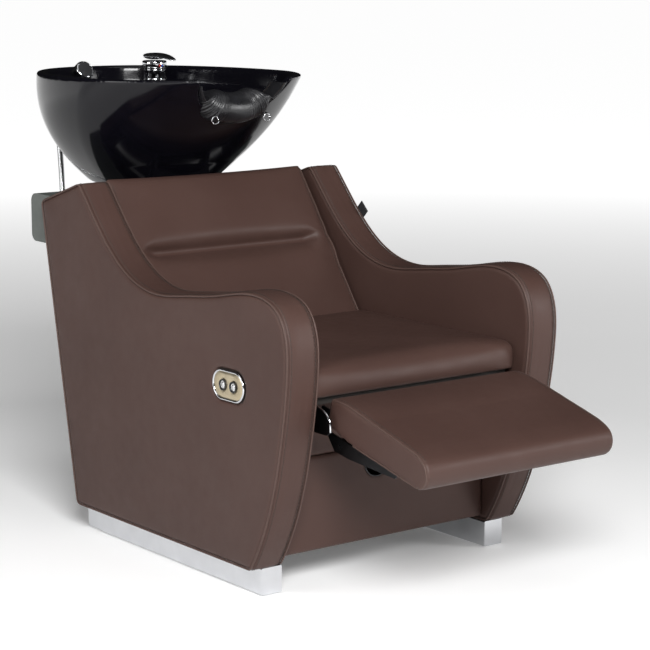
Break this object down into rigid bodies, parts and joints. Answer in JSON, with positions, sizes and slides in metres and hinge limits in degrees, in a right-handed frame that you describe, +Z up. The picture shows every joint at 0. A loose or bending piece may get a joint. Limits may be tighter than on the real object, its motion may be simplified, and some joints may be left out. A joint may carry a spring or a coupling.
{
  "type": "shampoo backwash unit",
  "caption": "Upholstered salon wash chair with curved arms, powered leg rest, hand control and a tilting black basin with mixer tap and pull-out spray.",
  "frame": {"origin": "on the floor under the middle of the whole unit", "axes": "+Z up, the sitter faces -Y, the basin is at +Y, +X across to the arm without the hand control"},
  "size_m": [0.69, 1.5628, 1.01],
  "materials": {
    "upholstery": "dark brown synthetic leather, fine grain, soft sheen",
    "plywood": "raw birch plywood",
    "chrome": "polished chrome plate",
    "hose_metal": "double-lock spiral chrome hose",
    "strainer_steel": "satin stainless steel",
    "frame_steel": "black powder coat",
    "plated_steel": "zinc plated",
    "grey_plastic": "moulded, fine texture",
    "black_plastic": "moulded, fine texture",
    "black_rubber": "matt",
    "neck_gel": "soft satin skin",
    "black_glaze": "high gloss black glaze",
    "champagne_metal": "pale gold satin",
    "button_metal": "polished disc",
    "tag_fabric": "woven tab"
  },
  "bodies": {
    "root": {"arm_outer_cover_left": "upholstery", "arm_outer_cover_right": "upholstery", "arm_inner_cover_left": "upholstery", "arm_inner_cover_right": "upholstery", "arm_band_left": "upholstery", "arm_band_right": "upholstery", "seat_cushion": "upholstery", "backrest_cushion": "upholstery", "backrest_back_cover": "upholstery", "front_panel_lower": "upholstery", "front_panel_upper": "upholstery", "rear_panel": "upholstery", "arm_core_left": "plywood", "arm_core_right": "plywood", "seat_board": "plywood", "backrest_board": "plywood", "base_board": "plywood", "foot_rail_left": "chrome", "foot_rail_right": "chrome", "foot_rear_blocks": "chrome", "seat_frame_tubes": "frame_steel", "frame_posts": "frame_steel", "rear_beam": "frame_steel", "bowl_bracket": "frame_steel", "frame_bolts": "plated_steel", "bowl_tilt_pin": "plated_steel", "legrest_pivot_plates": "plated_steel", "legrest_hinge_pins": "plated_steel", "rear_beam_cover": "grey_plastic", "control_switch_box": "black_plastic", "power_supply": "black_plastic", "mains_inlet": "black_plastic", "actuator_body": "black_plastic", "foot_glides": "black_rubber", "bowl_rest_buffer": "black_rubber", "control_bezel": "champagne_metal", "side_tag": "tag_fabric"},
    "bowl": {"bowl": "black_glaze", "drain_flange": "chrome", "drain_tail": "chrome", "bowl_cradle": "frame_steel", "neck_rest": "neck_gel", "neck_rest_rings": "chrome", "tap_body": "chrome", "tap_lock_nut": "chrome", "inlet_tails": "chrome", "spray_holder": "chrome", "hose_nuts": "chrome", "spray_hose": "hose_metal"},
    "tap_cap": {"tap_cap": "chrome"},
    "tap_lever": {"tap_lever": "chrome"},
    "spray_head": {"spray_head": "chrome"},
    "drain_strainer": {"drain_strainer": "strainer_steel"},
    "legrest": {"legrest_cushion": "upholstery", "legrest_board": "plywood", "legrest_brackets": "plated_steel", "legrest_crossbar": "plated_steel"},
    "actuator_rod": {"actuator_rod": "plated_steel"},
    "button_up": {"button_up": "button_metal"},
    "button_down": {"button_down": "button_metal"}
  },
  "joints": [
    {"name": "bowl_tilt", "type": "hinge", "parent": "root", "child": "bowl", "pos_m": [0, 0.3314, 0.712], "axis": [1, 0, 0], "range_deg": [0, 10]},
    {"name": "tap_swivel", "type": "hinge", "parent": "bowl", "child": "tap_cap", "pos_m": [0.105, 0.6414, 0.98], "axis": [0, 0, 1], "range_deg": [-45, 45]},
    {"name": "tap_lift", "type": "hinge", "parent": "tap_cap", "child": "tap_lever", "pos_m": [0.105, 0.6414, 0.99], "axis": [-1, 0, 0], "range_deg": [0, 25]},
    {"name": "spray_lift", "type": "slide", "parent": "bowl", "child": "spray_head", "axis": [0, -0.5, 0.866], "range_m": [0, 0.06]},
    {"name": "strainer_lift", "type": "slide", "parent": "bowl", "child": "drain_strainer", "axis": [0, 0, 1], "range_m": [0, 0.05]},
    {"name": "legrest_hinge", "type": "hinge", "parent": "root", "child": "legrest", "pos_m": [0, -0.4606, 0.372], "axis": [1, 0, 0], "range_deg": [0, 77.4]},
    {"name": "actuator_slide", "type": "slide", "parent": "root", "child": "actuator_rod", "axis": [0, 1, 0], "range_m": [-0.0005, 0.0945]},
    {"name": "button_up_press", "type": "slide", "parent": "root", "child": "button_up", "axis": [1, 0, 0], "range_m": [0, 0.002], "stiffness_N_per_m": 600},
    {"name": "button_down_press", "type": "slide", "parent": "root", "child": "button_down", "axis": [1, 0, 0], "range_m": [0, 0.002], "stiffness_N_per_m": 600}
  ],
  "couplings": [
    {"joint": "actuator_slide", "follows": "legrest_hinge", "m_per_rad": 0.06943}
  ]
}
